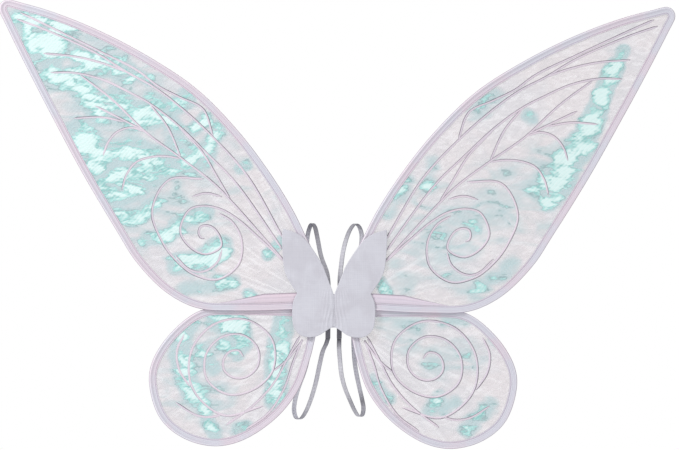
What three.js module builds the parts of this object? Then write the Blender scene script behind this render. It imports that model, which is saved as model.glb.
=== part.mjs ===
// Fairy wings: two folding pairs of film wings on wire frames, joined at a padded centre with
// two elastic arm loops. Millimetres, +Z up, +X to the viewer's right of the decorated front.
// The origin is the middle of the pad's rear face, the wearer's back is towards +Y.
import * as THREE from "three";

// Wing outlines
const upperReach = 475.7; // centre line to the upper wing's outer end
const upperRise = 435.4; // origin to the top of the upper wing
const lowerReach = 259; // centre line to the lower wing's outer end
const lowerDrop = 190; // origin to the bottom of the lower wing
const tipRadius = 13; // rounding of the upper wing's tip
const tipStartAngle = THREE.MathUtils.degToRad(108.7);
const tipEndAngle = THREE.MathUtils.degToRad(-23.6);
const tipSteps = 7;
const outlineStep = 13; // spacing of the sections along an outline

// Frame wires, film and edge binding
const wireDiameter = 2.2;
const wireSides = 6;
const filmThickness = 0.5;
const bindingWidth = 10.5;
const bindingWall = 0.5;
const gap = 0.3; // clearance between pieces that touch
const ferruleWall = 0.7;
const ferruleLength = 13;
const ferruleSides = 12;
const gussetWidth = 13; // the wide pink strip above the upper wing's bottom binding
const gussetReach = 168; // where that strip has tapered away
const gussetTaper = 62; // length of the taper
const gussetThickness = 0.8;
const gussetEndShare = 0.08; // of its width, where it ends

// Fabric butterfly patch, its lining and its stiffener
const patchReach = 74;
const patchRise = 117;
const patchDrop = 35;
const patchNeckTop = 34; // where a half's outline meets the neck
const patchNeckBottom = -22;
const patchThickness = 0.8;
const liningThickness = 0.8;
const liningShrink = 0.93;
const plateThickness = 1.2;
const plateReach = 42;
const plateRise = 50;
const plateDrop = 26;
const plateCorner = 8;

// Centre: back pad, core board and the gathered neck of the patch
const padWidth = 40;
const padHeight = 50;
const padThickness = 6;
const padCorner = 10;
const padNotch = 7; // how far its upper and lower edges dip at the middle, as the patch does
const coreWidth = 34;
const coreHeight = 46;
const coreThickness = 2;
const coreCorner = 8;
const coreNotch = 6;
const gatherWidth = 8.4;
const gatherTop = 26;
const gatherBottom = -21;
const gatherCorner = 1.5;
const gatherStandOut = 1; // how far the neck stands out in front of the patch

// Fold hinges, in the plane of the patch at each side of the neck
const hingeX = 5;
const hingeGap = 0.8; // between the fixed core and the folding wings
const patchInnerX = hingeX + 0.4;
const wingInnerX = 8.5; // nearest that the deeper wing pieces come to the centre line
const rootX = 12; // where the ends of each frame wire meet
const upperSpliceZ = 26;
const lowerSpliceZ = -12;
const spliceGap = 0.8;

// Elastic arm loops
const strapWidth = 7;
const strapThickness = 1;
const strapX = 8; // vertical line that each loop is sewn on, and swings about
const strapTop = 35;
const strapBottom = -37;
const strapSplay = THREE.MathUtils.degToRad(25.5); // outward from straight back
const strapSteps = 66;
const tabLength = 28;
const tabGap = 0.5;

// Layers from the wearer's back at Y = 0 to the decorated front
const bindingThickness = wireDiameter + 2 * (gap + bindingWall);
const ferruleDiameter = wireDiameter + 2 * (gap + ferruleWall);
const wingLayer = Math.max(bindingThickness, ferruleDiameter);
const tabY = -padThickness - gap;
const strapY = tabY - strapThickness / 2;
const coreY = tabY - strapThickness - gap;
const liningY = coreY - coreThickness - hingeGap;
const plateY = liningY - liningThickness - gap;
const lowerY = plateY - plateThickness - gap - wingLayer / 2;
const upperY = lowerY - wingLayer - gap;
const patchY = upperY - wingLayer / 2 - gap;
const gatherRearY = coreY - coreThickness - gap;
const gatherFrontY = patchY - patchThickness - gatherStandOut;

// Outlines, as shares of a wing's reach and of its rise or drop
const upperLeadingShape = [
  [0.072, 0.218], [0.122, 0.326], [0.185, 0.436], [0.281, 0.574],
  [0.406, 0.712], [0.53, 0.804], [0.69, 0.896], [0.841, 0.961],
];
const upperTrailingShape = [
  [0.927, 0.804], [0.838, 0.62], [0.745, 0.436], [0.643, 0.253], [0.589, 0.161],
  [0.508, 0.069], [0.439, 0.023], [0.383, 0.005], [0.3, 0.002], [0.2, 0.004], [0.122, 0.008],
];
const lowerShape = [
  [0.232, 0.026], [0.5, 0.029], [0.718, 0.008], [0.88, -0.158], [0.981, -0.368],
  [1, -0.526], [0.942, -0.789], [0.819, -0.937], [0.649, -1], [0.494, -0.958],
  [0.309, -0.789], [0.189, -0.579], [0.127, -0.347],
];
const patchTopShape = [[0.19, 0.53], [0.432, 0.778], [0.6, 0.9], [0.784, 0.966], [0.985, 1]];
const patchSideShape = [[1, 0.86], [0.96, 0.55], [0.865, 0.385], [0.703, 0.231]];
const patchLobeShape = [
  [0.777, 0.115], [0.79, -0.14], [0.757, -0.6], [0.635, -0.914], [0.46, -1], [0.27, -0.914],
];
// Ends of the outlines, hidden under the patch
const upperLeadingRoot = [14, 62];
const upperBottomRoot = [18, 5];
const lowerTopRoot = [18, 2];
const lowerInnerRoot = [24.5, -30];

// Routes of the arm loops in their own plane: reach from the sewn line, height
const leftStrapRoute = [
  [0, strapTop], [1, 44], [6, 57], [26, 80], [38, 104], [47, 120], [57, 125], [68, 114],
  [73, 98], [70, 78], [66, 40], [62, 0], [61, -40], [65, -64], [78, -88], [93, -106],
  [105, -127], [107, -140], [100, -149], [87, -149], [72, -141], [52, -121], [37, -98],
  [26, -74], [16, -55], [5, -44], [0, strapBottom],
];
const rightStrapRoute = [
  [0, strapTop], [0, 48], [4, 67], [10, 87], [20, 104], [32, 117], [48, 125], [62, 121],
  [70, 110], [69, 92], [60, 50], [52, 10], [47, -30], [49, -57], [55, -80], [66, -103],
  [78, -125], [83, -138], [79, -147], [67, -148], [54, -140], [37, -124], [20, -106],
  [9, -88], [3, -66], [0, -50], [0, strapBottom],
];

const finish = (color, roughness, metalness = 0) =>
  new THREE.MeshStandardMaterial({ color, roughness, metalness });
const steel = finish(0xb9bcc0, 0.35, 1);
const film = finish(0xdfeaea, 0.15);
film.transparent = true;
film.opacity = 0.45;
const bindingTape = finish(0xdcd6e4, 0.55);
const organza = finish(0xe6d3e0, 0.5);
const satin = finish(0xd6d5e0, 0.6);
const felt = finish(0xdad9dd, 0.9);
const elastic = finish(0xb4b3bf, 0.7);
const board = finish(0xe8e8ea, 0.5);

// A path that passes through its points, one section at each point.
class PointPath extends THREE.Curve {
  constructor(points) {
    super();
    this.points = points;
  }

  getPoint(t, target = new THREE.Vector3()) {
    const place = t * (this.points.length - 1);
    const index = Math.min(Math.floor(place), this.points.length - 2);
    return target.lerpVectors(this.points[index], this.points[index + 1], place - index);
  }

  getUtoTmapping(u) {
    return u;
  }
}

// Flat points stand in the XZ plane at the given depth.
const standUp = (points, y) => points.map((point) => new THREE.Vector3(point.x, y, point.y));

function sweep(section, points) {
  const extrudePath = new PointPath(points);
  return new THREE.ExtrudeGeometry(section, { extrudePath, steps: points.length - 1 });
}

// A flat sheet between rearY and rearY - thickness.
function slab(shape, thickness, rearY, curveSegments = 4) {
  const options = { depth: thickness, bevelEnabled: false, curveSegments };
  return new THREE.ExtrudeGeometry(shape, options).rotateX(Math.PI / 2).translate(0, rearY, 0);
}

// The mirror image in the YZ plane, with its faces turned to point out again.
function mirrored(geometry) {
  const flipped = geometry.index ? geometry.toNonIndexed() : geometry.clone();
  flipped.scale(-1, 1, 1);
  const position = flipped.getAttribute("position");
  const corner = new THREE.Vector3();
  const swap = new THREE.Vector3();
  for (let i = 0; i < position.count; i += 3) {
    corner.fromBufferAttribute(position, i + 1);
    swap.fromBufferAttribute(position, i + 2);
    position.setXYZ(i + 1, swap.x, swap.y, swap.z);
    position.setXYZ(i + 2, corner.x, corner.y, corner.z);
  }
  return flipped;
}

function smoothLine(points, step = outlineStep) {
  const knots = points.map(([x, y]) => new THREE.Vector3(x, y, 0));
  const curve = new THREE.CatmullRomCurve3(knots, false, "centripetal");
  const spaced = curve.getSpacedPoints(Math.ceil(curve.getLength() / step));
  return spaced.map((point) => new THREE.Vector2(point.x, point.y));
}

const toVectors = (pairs) => pairs.map(([x, y]) => new THREE.Vector2(x, y));

const scaled = (shape, reach, rise) => shape.map(([x, y]) => [x * reach, y * rise]);

// The upper wing's edge from its leading root, round the tip and back to its bottom root.
function upperEdge() {
  const centre = new THREE.Vector2(upperReach - tipRadius, upperRise - tipRadius);
  const onTip = (angle) => [
    centre.x + tipRadius * Math.cos(angle),
    centre.y + tipRadius * Math.sin(angle),
  ];
  const leadingKnots = scaled(upperLeadingShape, upperReach, upperRise);
  const trailingKnots = scaled(upperTrailingShape, upperReach, upperRise);
  const leading = smoothLine([upperLeadingRoot, ...leadingKnots, onTip(tipStartAngle)]);
  const trailing = smoothLine([onTip(tipEndAngle), ...trailingKnots, upperBottomRoot]);
  const tip = [];
  for (let i = 1; i < tipSteps; i += 1) {
    const angle = THREE.MathUtils.lerp(tipStartAngle, tipEndAngle, i / tipSteps);
    tip.push(new THREE.Vector2(...onTip(angle)));
  }
  return [...leading, ...tip, ...trailing];
}

const lowerEdge = () =>
  smoothLine([lowerTopRoot, ...scaled(lowerShape, lowerReach, lowerDrop), lowerInnerRoot]);

// Points of an edge moved inward, square to the edge, by a distance that may vary.
function insetEdge(edge, distance) {
  const distanceAt = typeof distance === "function" ? distance : () => distance;
  return edge.map((point, i) => {
    const before = edge[Math.max(i - 1, 0)];
    const after = edge[Math.min(i + 1, edge.length - 1)];
    const along = after.clone().sub(before).normalize();
    const inward = new THREE.Vector2(along.y, -along.x);
    return point.clone().addScaledVector(inward, distanceAt(point));
  });
}

// A folded tape, open towards the wing, that holds the wire and the film's rim.
function bindingGeometry(edge, y) {
  const half = bindingThickness / 2;
  const inner = half - bindingWall;
  const corners = [
    [-half, 0], [half, 0], [half, bindingWidth], [inner, bindingWidth],
    [inner, bindingWall], [-inner, bindingWall], [-inner, bindingWidth], [-half, bindingWidth],
  ];
  return sweep(new THREE.Shape(toVectors(corners)), standUp(edge, y));
}

function wireGeometry(edge, startPoints, endPoints, y) {
  const section = new THREE.Shape();
  section.absarc(0, 0, wireDiameter / 2, 0, 2 * Math.PI);
  const ring = new THREE.Shape(section.getPoints(wireSides / 2).slice(0, -1));
  const run = insetEdge(edge, bindingWall + gap + wireDiameter / 2);
  return sweep(ring, standUp([...toVectors(startPoints), ...run, ...toVectors(endPoints)], y));
}

function filmGeometry(edge, y) {
  const rim = insetEdge(edge, bindingWall + wireDiameter + 2 * gap);
  return slab(new THREE.Shape(rim), filmThickness, y + filmThickness / 2);
}

// A crimped sleeve round the two ends of a frame wire.
function ferruleGeometry(middleZ, y) {
  const inner = wireDiameter / 2 + gap;
  const outer = ferruleDiameter / 2;
  const half = ferruleLength / 2;
  const corners = [[inner, -half], [outer, -half], [outer, half], [inner, half], [inner, -half]];
  const sleeve = new THREE.LatheGeometry(toVectors(corners), ferruleSides);
  return sleeve.rotateX(Math.PI / 2).translate(rootX, y, middleZ);
}

// The tapered strip along the inner side of the upper wing's bottom binding.
function gussetGeometry(edge) {
  const run = edge.filter((point, i) => i > edge.length / 2 && point.x <= gussetReach);
  const base = bindingWidth + gap;
  const taper = (point) => {
    const share = Math.min((gussetReach - point.x) / gussetTaper, 1);
    return base + gussetWidth * Math.max(share, gussetEndShare);
  };
  const lowSide = insetEdge(run, base);
  const highSide = insetEdge(run, taper);
  const shape = new THREE.Shape([...lowSide, ...highSide.reverse()]);
  return slab(shape, gussetThickness, upperY - filmThickness / 2 - gap);
}

function butterflyShape(reach, rise, drop, innerX) {
  const sized = (pairs) => pairs.map(([x, z]) => new THREE.Vector2(x * reach, z * (z < 0 ? drop : rise)));
  const shape = new THREE.Shape();
  shape.moveTo(innerX, patchNeckTop);
  shape.splineThru(sized(patchTopShape));
  shape.splineThru(sized(patchSideShape));
  shape.splineThru([...sized(patchLobeShape), new THREE.Vector2(innerX, patchNeckBottom)]);
  shape.closePath();
  return shape;
}

function roundedBox(low, high, radius) {
  const shape = new THREE.Shape();
  shape.moveTo(low.x + radius, low.y);
  shape.lineTo(high.x - radius, low.y);
  shape.quadraticCurveTo(high.x, low.y, high.x, low.y + radius);
  shape.lineTo(high.x, high.y - radius);
  shape.quadraticCurveTo(high.x, high.y, high.x - radius, high.y);
  shape.lineTo(low.x + radius, high.y);
  shape.quadraticCurveTo(low.x, high.y, low.x, high.y - radius);
  shape.lineTo(low.x, low.y + radius);
  shape.quadraticCurveTo(low.x, low.y, low.x + radius, low.y);
  return shape;
}

// A centred box with round corners, whose upper and lower edges dip to a notch at the middle.
function notchedBox(width, height, radius, notch) {
  const [side, top] = [width / 2, height / 2];
  const shape = new THREE.Shape();
  shape.moveTo(0, notch - top);
  shape.lineTo(side - radius, -top);
  shape.quadraticCurveTo(side, -top, side, radius - top);
  shape.lineTo(side, top - radius);
  shape.quadraticCurveTo(side, top, side - radius, top);
  shape.lineTo(0, top - notch);
  shape.lineTo(radius - side, top);
  shape.quadraticCurveTo(-side, top, -side, top - radius);
  shape.lineTo(-side, radius - top);
  shape.quadraticCurveTo(-side, -top, radius - side, -top);
  shape.closePath();
  return shape;
}

const wings = new THREE.Group();

function add(name, geometry, material, parent = wings) {
  const mesh = new THREE.Mesh(geometry, material);
  mesh.name = name;
  parent.add(mesh);
  return mesh;
}

function wingPieces() {
  const upper = upperEdge();
  const lower = lowerEdge();
  const upperWireStart = [
    [rootX, upperSpliceZ + spliceGap / 2], [rootX, upperSpliceZ + 12], [rootX + 1, 52],
  ];
  const upperWireEnd = [
    [13.8, 8.6], [rootX + 0.3, 11.2], [rootX, 15], [rootX, upperSpliceZ - spliceGap / 2],
  ];
  const lowerWireStart = [
    [rootX, lowerSpliceZ + spliceGap / 2], [rootX, -4.5], [rootX + 0.6, -1.8], [14.6, -0.3],
  ];
  const lowerWireEnd = [
    [23.4, -26.2], [19.5, -25], [15.2, -24.4], [rootX + 0.4, -22.4], [rootX, -19],
    [rootX, lowerSpliceZ - spliceGap / 2],
  ];
  const plateLow = { x: wingInnerX, y: -plateDrop };
  const plateHigh = { x: plateReach, y: plateRise };
  const plate = roundedBox(plateLow, plateHigh, plateCorner);
  const lining = butterflyShape(
    patchReach * liningShrink, patchRise * liningShrink, patchDrop * liningShrink, wingInnerX,
  );
  const patch = butterflyShape(patchReach, patchRise, patchDrop, patchInnerX);
  return [
    ["upper_wire", wireGeometry(upper, upperWireStart, upperWireEnd, upperY), steel],
    ["upper_film", filmGeometry(upper, upperY), film],
    ["upper_binding", bindingGeometry(upper, upperY), bindingTape],
    ["upper_ferrule", ferruleGeometry(upperSpliceZ, upperY), steel],
    ["upper_gusset", gussetGeometry(upper), organza],
    ["lower_wire", wireGeometry(lower, lowerWireStart, lowerWireEnd, lowerY), steel],
    ["lower_film", filmGeometry(lower, lowerY), film],
    ["lower_binding", bindingGeometry(lower, lowerY), bindingTape],
    ["lower_ferrule", ferruleGeometry(lowerSpliceZ, lowerY), steel],
    ["root_stiffener", slab(plate, plateThickness, plateY), felt],
    ["root_lining", slab(lining, liningThickness, liningY, 3), satin],
    ["patch", slab(patch, patchThickness, patchY, 3), satin],
  ];
}

for (const [name, geometry, material] of wingPieces()) {
  add(`right_${name}`, geometry, material);
  add(`left_${name}`, mirrored(geometry), material);
}

function strapGeometry(route) {
  const across = strapWidth / 2;
  const thick = strapThickness / 2;
  const corners = [[-across, -thick], [across, -thick], [across, thick], [-across, thick]];
  const section = new THREE.Shape(toVectors(corners));
  const knots = route.map(([reach, height]) => new THREE.Vector3(reach, 0, height));
  const curve = new THREE.CatmullRomCurve3(knots, false, "centripetal");
  return sweep(section, curve.getSpacedPoints(strapSteps));
}

// One sewn-down end of an arm loop, between the pad and the core board.
const tabGeometry = (lowZ) =>
  new THREE.BoxGeometry(strapWidth, strapThickness, tabLength).translate(0, 0, lowZ + tabLength / 2);

for (const [side, outward, route] of [["left", -1, leftStrapRoute], ["right", 1, rightStrapRoute]]) {
  const seam = new THREE.Group();
  seam.position.set(outward * strapX, strapY, 0);
  wings.add(seam);
  const loop = add(`${side}_strap`, strapGeometry(route), elastic, seam);
  loop.rotation.z = Math.PI / 2 - outward * strapSplay;
  add(`${side}_strap_top_tab`, tabGeometry(strapTop - tabGap - tabLength), elastic, seam);
  add(`${side}_strap_bottom_tab`, tabGeometry(strapBottom + tabGap), elastic, seam);
}

const padShape = notchedBox(padWidth, padHeight, padCorner, padNotch);
const coreShape = notchedBox(coreWidth, coreHeight, coreCorner, coreNotch);
add("back_pad", slab(padShape, padThickness, 0), satin);
add("core_board", slab(coreShape, coreThickness, coreY), board);
const gatherLow = { x: -gatherWidth / 2, y: gatherBottom };
const gatherHigh = { x: gatherWidth / 2, y: gatherTop };
const gatherShape = roundedBox(gatherLow, gatherHigh, gatherCorner);
add("neck_gather", slab(gatherShape, gatherRearY - gatherFrontY, gatherRearY), satin);

export default wings;
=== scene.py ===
import math
import random

import bmesh
import bpy
import numpy as np
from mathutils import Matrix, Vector, noise
from mathutils.geometry import delaunay_2d_cdt


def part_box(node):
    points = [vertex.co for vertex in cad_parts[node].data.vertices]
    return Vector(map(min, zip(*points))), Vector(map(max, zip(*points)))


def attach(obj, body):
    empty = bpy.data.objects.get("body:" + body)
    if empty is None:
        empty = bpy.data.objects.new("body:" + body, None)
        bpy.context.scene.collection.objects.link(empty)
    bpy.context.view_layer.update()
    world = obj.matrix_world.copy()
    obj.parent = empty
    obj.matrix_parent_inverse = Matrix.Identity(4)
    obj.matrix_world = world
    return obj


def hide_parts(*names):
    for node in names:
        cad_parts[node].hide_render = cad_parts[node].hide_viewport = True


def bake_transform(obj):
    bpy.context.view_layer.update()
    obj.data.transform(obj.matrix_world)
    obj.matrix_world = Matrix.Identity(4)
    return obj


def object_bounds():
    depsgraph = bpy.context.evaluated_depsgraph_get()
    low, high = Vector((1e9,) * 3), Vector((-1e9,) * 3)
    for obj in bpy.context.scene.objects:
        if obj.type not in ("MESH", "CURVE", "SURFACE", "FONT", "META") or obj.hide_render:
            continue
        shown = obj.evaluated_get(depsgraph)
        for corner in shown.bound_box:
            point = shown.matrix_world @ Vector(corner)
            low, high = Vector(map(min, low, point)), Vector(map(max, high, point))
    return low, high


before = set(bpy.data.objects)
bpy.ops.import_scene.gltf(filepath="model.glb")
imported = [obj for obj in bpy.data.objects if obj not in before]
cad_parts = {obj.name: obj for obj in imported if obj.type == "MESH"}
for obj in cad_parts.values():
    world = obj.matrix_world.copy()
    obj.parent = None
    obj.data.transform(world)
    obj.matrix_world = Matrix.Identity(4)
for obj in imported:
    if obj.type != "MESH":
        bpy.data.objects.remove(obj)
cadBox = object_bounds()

# Fairy wings: crinkled film on wire frames, edge tape, raised veins, a satin butterfly patch,
# a padded centre and two elastic arm loops. Everything is in the frame's metres.
mm = 0.001
sides = {"left": -1, "right": 1}


# A long lens straight in front, rolled a little, as the wings hang
cameraPlan = {
    "lens": 250,
    "place": (0.0066, -6.65, 0.1233),
    "roll": math.radians(-0.65),
}


def makeCamera():
    data = bpy.data.cameras.new("camera")
    data.lens = cameraPlan["lens"]
    camera = bpy.data.objects.new("camera", data)
    bpy.context.scene.collection.objects.link(camera)
    camera.location = cameraPlan["place"]
    camera.rotation_euler = (math.radians(90), cameraPlan["roll"], 0)
    bpy.context.scene.camera = camera


def tint(red, green, blue):
    # An everyday 0-255 colour as the linear values that nodes take.
    def straight(level):
        level = level / 255
        return level / 12.92 if level <= 0.04045 else ((level + 0.055) / 1.055) ** 2.4
    return (straight(red), straight(green), straight(blue), 1)


def addNode(tree, kind, inputs=None, **settings):
    # Adds a node; an input is a value, or another node's output to link from.
    node = tree.nodes.new("ShaderNode" + kind)
    for name, value in settings.items():
        setattr(node, name, value)
    for name, value in (inputs or {}).items():
        if isinstance(value, bpy.types.NodeSocket):
            tree.links.new(value, node.inputs[name])
        else:
            node.inputs[name].default_value = value
    return node


def newMaterial(name, **constants):
    # A material whose plain values sit on the shader's own sockets.
    material = bpy.data.materials.new(name)
    material.use_nodes = True
    shader = material.node_tree.nodes["Principled BSDF"]
    for socket, value in constants.items():
        shader.inputs[socket.replace("_", " ")].default_value = value
    return material, material.node_tree, shader


lightPlan = {
    "skyLight": 0.62,
    "backdrop": 1.0,
    "lamps": [
        # name, place, aimed at, width, power
        ("keyLamp", (-2.3, -1.7, 1.7), (0, 0, 0.1), 0.7, 62),
        ("fillLamp", (1.9, -2.0, 0.3), (0, 0, 0.1), 1.6, 10),
        ("rearLamp", (0.8, 2.4, 1.7), (0, 0, 0.1), 1.4, 22),
    ],
    "floorDrop": 0.26,
    "floorRadius": 1.2,
}


def makeLight():
    world = bpy.data.worlds.new("paleRoom")
    bpy.context.scene.world = world
    world.use_nodes = True
    tree = world.node_tree
    background = tree.nodes["Background"]
    seen = addNode(tree, "LightPath").outputs["Is Camera Ray"]
    level = addNode(tree, "MapRange", {
        "Value": seen, "To Min": lightPlan["skyLight"], "To Max": lightPlan["backdrop"],
    })
    background.inputs["Color"].default_value = (1, 1, 1, 1)
    tree.links.new(level.outputs["Result"], background.inputs["Strength"])
    for name, place, aim, width, power in lightPlan["lamps"]:
        lamp = bpy.data.lights.new(name, "AREA")
        lamp.size = width
        lamp.energy = power
        holder = bpy.data.objects.new(name, lamp)
        bpy.context.scene.collection.objects.link(holder)
        holder.location = place
        holder.rotation_euler = (Vector(aim) - Vector(place)).to_track_quat("-Z", "Y").to_euler()
    bpy.context.scene.view_settings.view_transform = "Standard"


def makeFloor():
    rim = bmesh.new()
    bmesh.ops.create_circle(rim, cap_ends=True, segments=96, radius=lightPlan["floorRadius"])
    mesh = bpy.data.meshes.new("floor")
    rim.to_mesh(mesh)
    rim.free()
    floor = bpy.data.objects.new("floor", mesh)
    bpy.context.scene.collection.objects.link(floor)
    floor.location = (0, 0, cadBox[0].z - lightPlan["floorDrop"])
    material, tree, shader = newMaterial("paleFloor", Roughness=0.8)
    grain = addNode(tree, "TexNoise", {"Scale": 9.0, "Detail": 4.0})
    shade = addNode(tree, "ValToRGB", {"Fac": grain.outputs["Fac"]})
    shade.color_ramp.elements[0].color = tint(232, 232, 234)
    shade.color_ramp.elements[1].color = tint(240, 240, 241)
    tree.links.new(shade.outputs["Color"], shader.inputs["Base Color"])
    mesh.materials.append(material)


makeCamera()
makeLight()
makeFloor()
print("stage: camera, light and floor are in")


# Shared shader effects, and the short hands that build node trees
def newGroup(name, inputs, outputs):
    tree = bpy.data.node_groups.new(name, "ShaderNodeTree")
    for label, kind, value in inputs:
        socket = tree.interface.new_socket(name=label, in_out="INPUT", socket_type="NodeSocket" + kind)
        if value is not None:
            socket.default_value = value
    for label, kind in outputs:
        tree.interface.new_socket(name=label, in_out="OUTPUT", socket_type="NodeSocket" + kind)
    return tree, tree.nodes.new("NodeGroupInput"), tree.nodes.new("NodeGroupOutput")


def useGroup(tree, group, **values):
    node = tree.nodes.new("ShaderNodeGroup")
    node.node_tree = group
    for label, value in values.items():
        node.inputs[label].default_value = value
    return node


def objectPlace(tree):
    return addNode(tree, "TexCoord").outputs["Object"]


def carried(tree, label):
    # A value that the piece carries at each of its points.
    return addNode(tree, "Attribute", attribute_name=label).outputs["Fac"]


def sums(tree, first, second, operation="ADD"):
    return addNode(tree, "Math", {0: first, 1: second}, operation=operation).outputs[0]


def scaled(tree, value, share):
    return sums(tree, value, share, "MULTIPLY")


def step(tree, value, low, high):
    # A soft step from 0 to 1; with low above high it falls instead of rising.
    node = addNode(tree, "MapRange", {
        "Value": value, "From Min": low, "From Max": high,
    }, interpolation_type="SMOOTHSTEP")
    return node.outputs["Result"]


def spread(tree, value, low, high):
    # A 0-1 value laid out between two levels.
    return addNode(tree, "MapRange", {"Value": value, "To Min": low, "To Max": high}).outputs["Result"]


def blendColours(tree, factor, first, second, mode="MIX"):
    # Mixes two colours; each is a fixed colour or another node's output.
    mix = addNode(tree, "Mix", data_type="RGBA", blend_type=mode, clamp_factor=True)
    slots = {one.name: one for one in mix.inputs if one.type == "RGBA"}
    for slot, value in ((mix.inputs["Factor"], factor), (slots["A"], first), (slots["B"], second)):
        if isinstance(value, bpy.types.NodeSocket):
            tree.links.new(value, slot)
        else:
            slot.default_value = value
    return [one for one in mix.outputs if one.type == "RGBA"][0]


def layered(tree, ground, layers, look):
    # Lays named colours over a ground, one after another, each by its own mask.
    for mask, colour in layers:
        ground = blendColours(tree, mask, ground, tint(*look[colour]))
    return ground


def ramp(tree, factor, stops):
    node = addNode(tree, "ValToRGB", {"Fac": factor})
    elements = node.color_ramp.elements
    elements[0].position, elements[0].color = stops[0][0], tint(*stops[0][1])
    elements[1].position, elements[1].color = stops[-1][0], tint(*stops[-1][1])
    for position, colour in stops[1:-1]:
        elements.new(position).color = tint(*colour)
    return node.outputs["Color"]


def drawnNoise(tree, place, scale, turn=0.0, **inputs):
    # Noise stretched by a scale for each way, and turned about the depth.
    drawn = addNode(tree, "Mapping", {"Vector": place, "Rotation": (0.0, turn, 0.0), "Scale": scale})
    inputs = {"Vector": drawn.outputs["Vector"], "Scale": 1.0, **inputs}
    return addNode(tree, "TexNoise", inputs).outputs["Fac"]


def bumpInto(tree, shader, height, strength, distance):
    bump = addNode(tree, "Bump", {"Height": height, "Strength": strength, "Distance": distance})
    tree.links.new(bump.outputs["Normal"], shader.inputs["Normal"])


weavePlan = {
    "pitch": 0.05,  # turns a thread count into the scale of a wave
    "unevenness": 0.6,
    "slubs": [(60.0, 60.0, 900.0), (900.0, 60.0, 60.0)],  # drawn out along the warp and the weft
    "crossing": 0.35,
    "shadeFrom": (0.6, 1.15),
}


def makeWeaveGroup():
    # Threads crossing over and under, with slubs: a height and a light-dark shade.
    plan = weavePlan
    tree, given, out = newGroup(
        "cloth weave",
        [("Threads", "Float", 1800.0), ("Slub", "Float", 0.8)],
        [("Height", "Float"), ("Shade", "Float")],
    )
    place = objectPlace(tree)
    pitch = scaled(tree, given.outputs["Threads"], plan["pitch"])
    warp, weft = (addNode(tree, "TexWave", {
        "Vector": place, "Scale": pitch, "Distortion": plan["unevenness"], "Detail": 1.0,
    }, bands_direction=way).outputs["Fac"] for way in ("X", "Z"))
    crossing = scaled(tree, sums(tree, warp, weft, "MULTIPLY"), plan["crossing"])
    along, around = (drawnNoise(tree, place, scale, Detail=3.0) for scale in plan["slubs"])
    slubs = sums(tree, sums(tree, along, around), given.outputs["Slub"], "MULTIPLY")
    height = sums(tree, crossing, slubs)
    low, high = plan["shadeFrom"]
    shade = addNode(tree, "MapRange", {"Value": height, "From Min": low, "From Max": high})
    tree.links.new(height, out.inputs["Height"])
    tree.links.new(shade.outputs["Result"], out.inputs["Shade"])
    return tree


def makeDriftGroup():
    # Slow patches of a second colour, as iridescent and dyed cloth shows.
    tree, given, out = newGroup(
        "colour drift",
        [("Scale", "Float", 12.0), ("First", "Color", None), ("Second", "Color", None)],
        [("Color", "Color"), ("Mask", "Float")],
    )
    cloud = addNode(tree, "TexNoise", {
        "Vector": objectPlace(tree), "Scale": given.outputs["Scale"], "Detail": 3.0, "Distortion": 0.6,
    })
    mask = step(tree, cloud.outputs["Fac"], 0.38, 0.62)
    colour = blendColours(tree, mask, given.outputs["First"], given.outputs["Second"])
    tree.links.new(colour, out.inputs["Color"])
    tree.links.new(mask, out.inputs["Mask"])
    return tree


weave = makeWeaveGroup()
drift = makeDriftGroup()


def driftBetween(tree, first, second, scale):
    return useGroup(tree, drift, Scale=scale, First=tint(*first), Second=tint(*second))


def weaveOver(tree, shader, colour, look):
    # Lays the weave over a colour: painted shade between the threads, and a bump of the same threads.
    cloth = useGroup(tree, weave, Threads=look["threads"])
    between = scaled(tree, cloth.outputs["Shade"], look["shade"])
    tree.links.new(blendColours(tree, between, colour, tint(*look["dark"])), shader.inputs["Base Color"])
    bumpInto(tree, shader, cloth.outputs["Height"], look["bump"], look["depth"])


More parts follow.
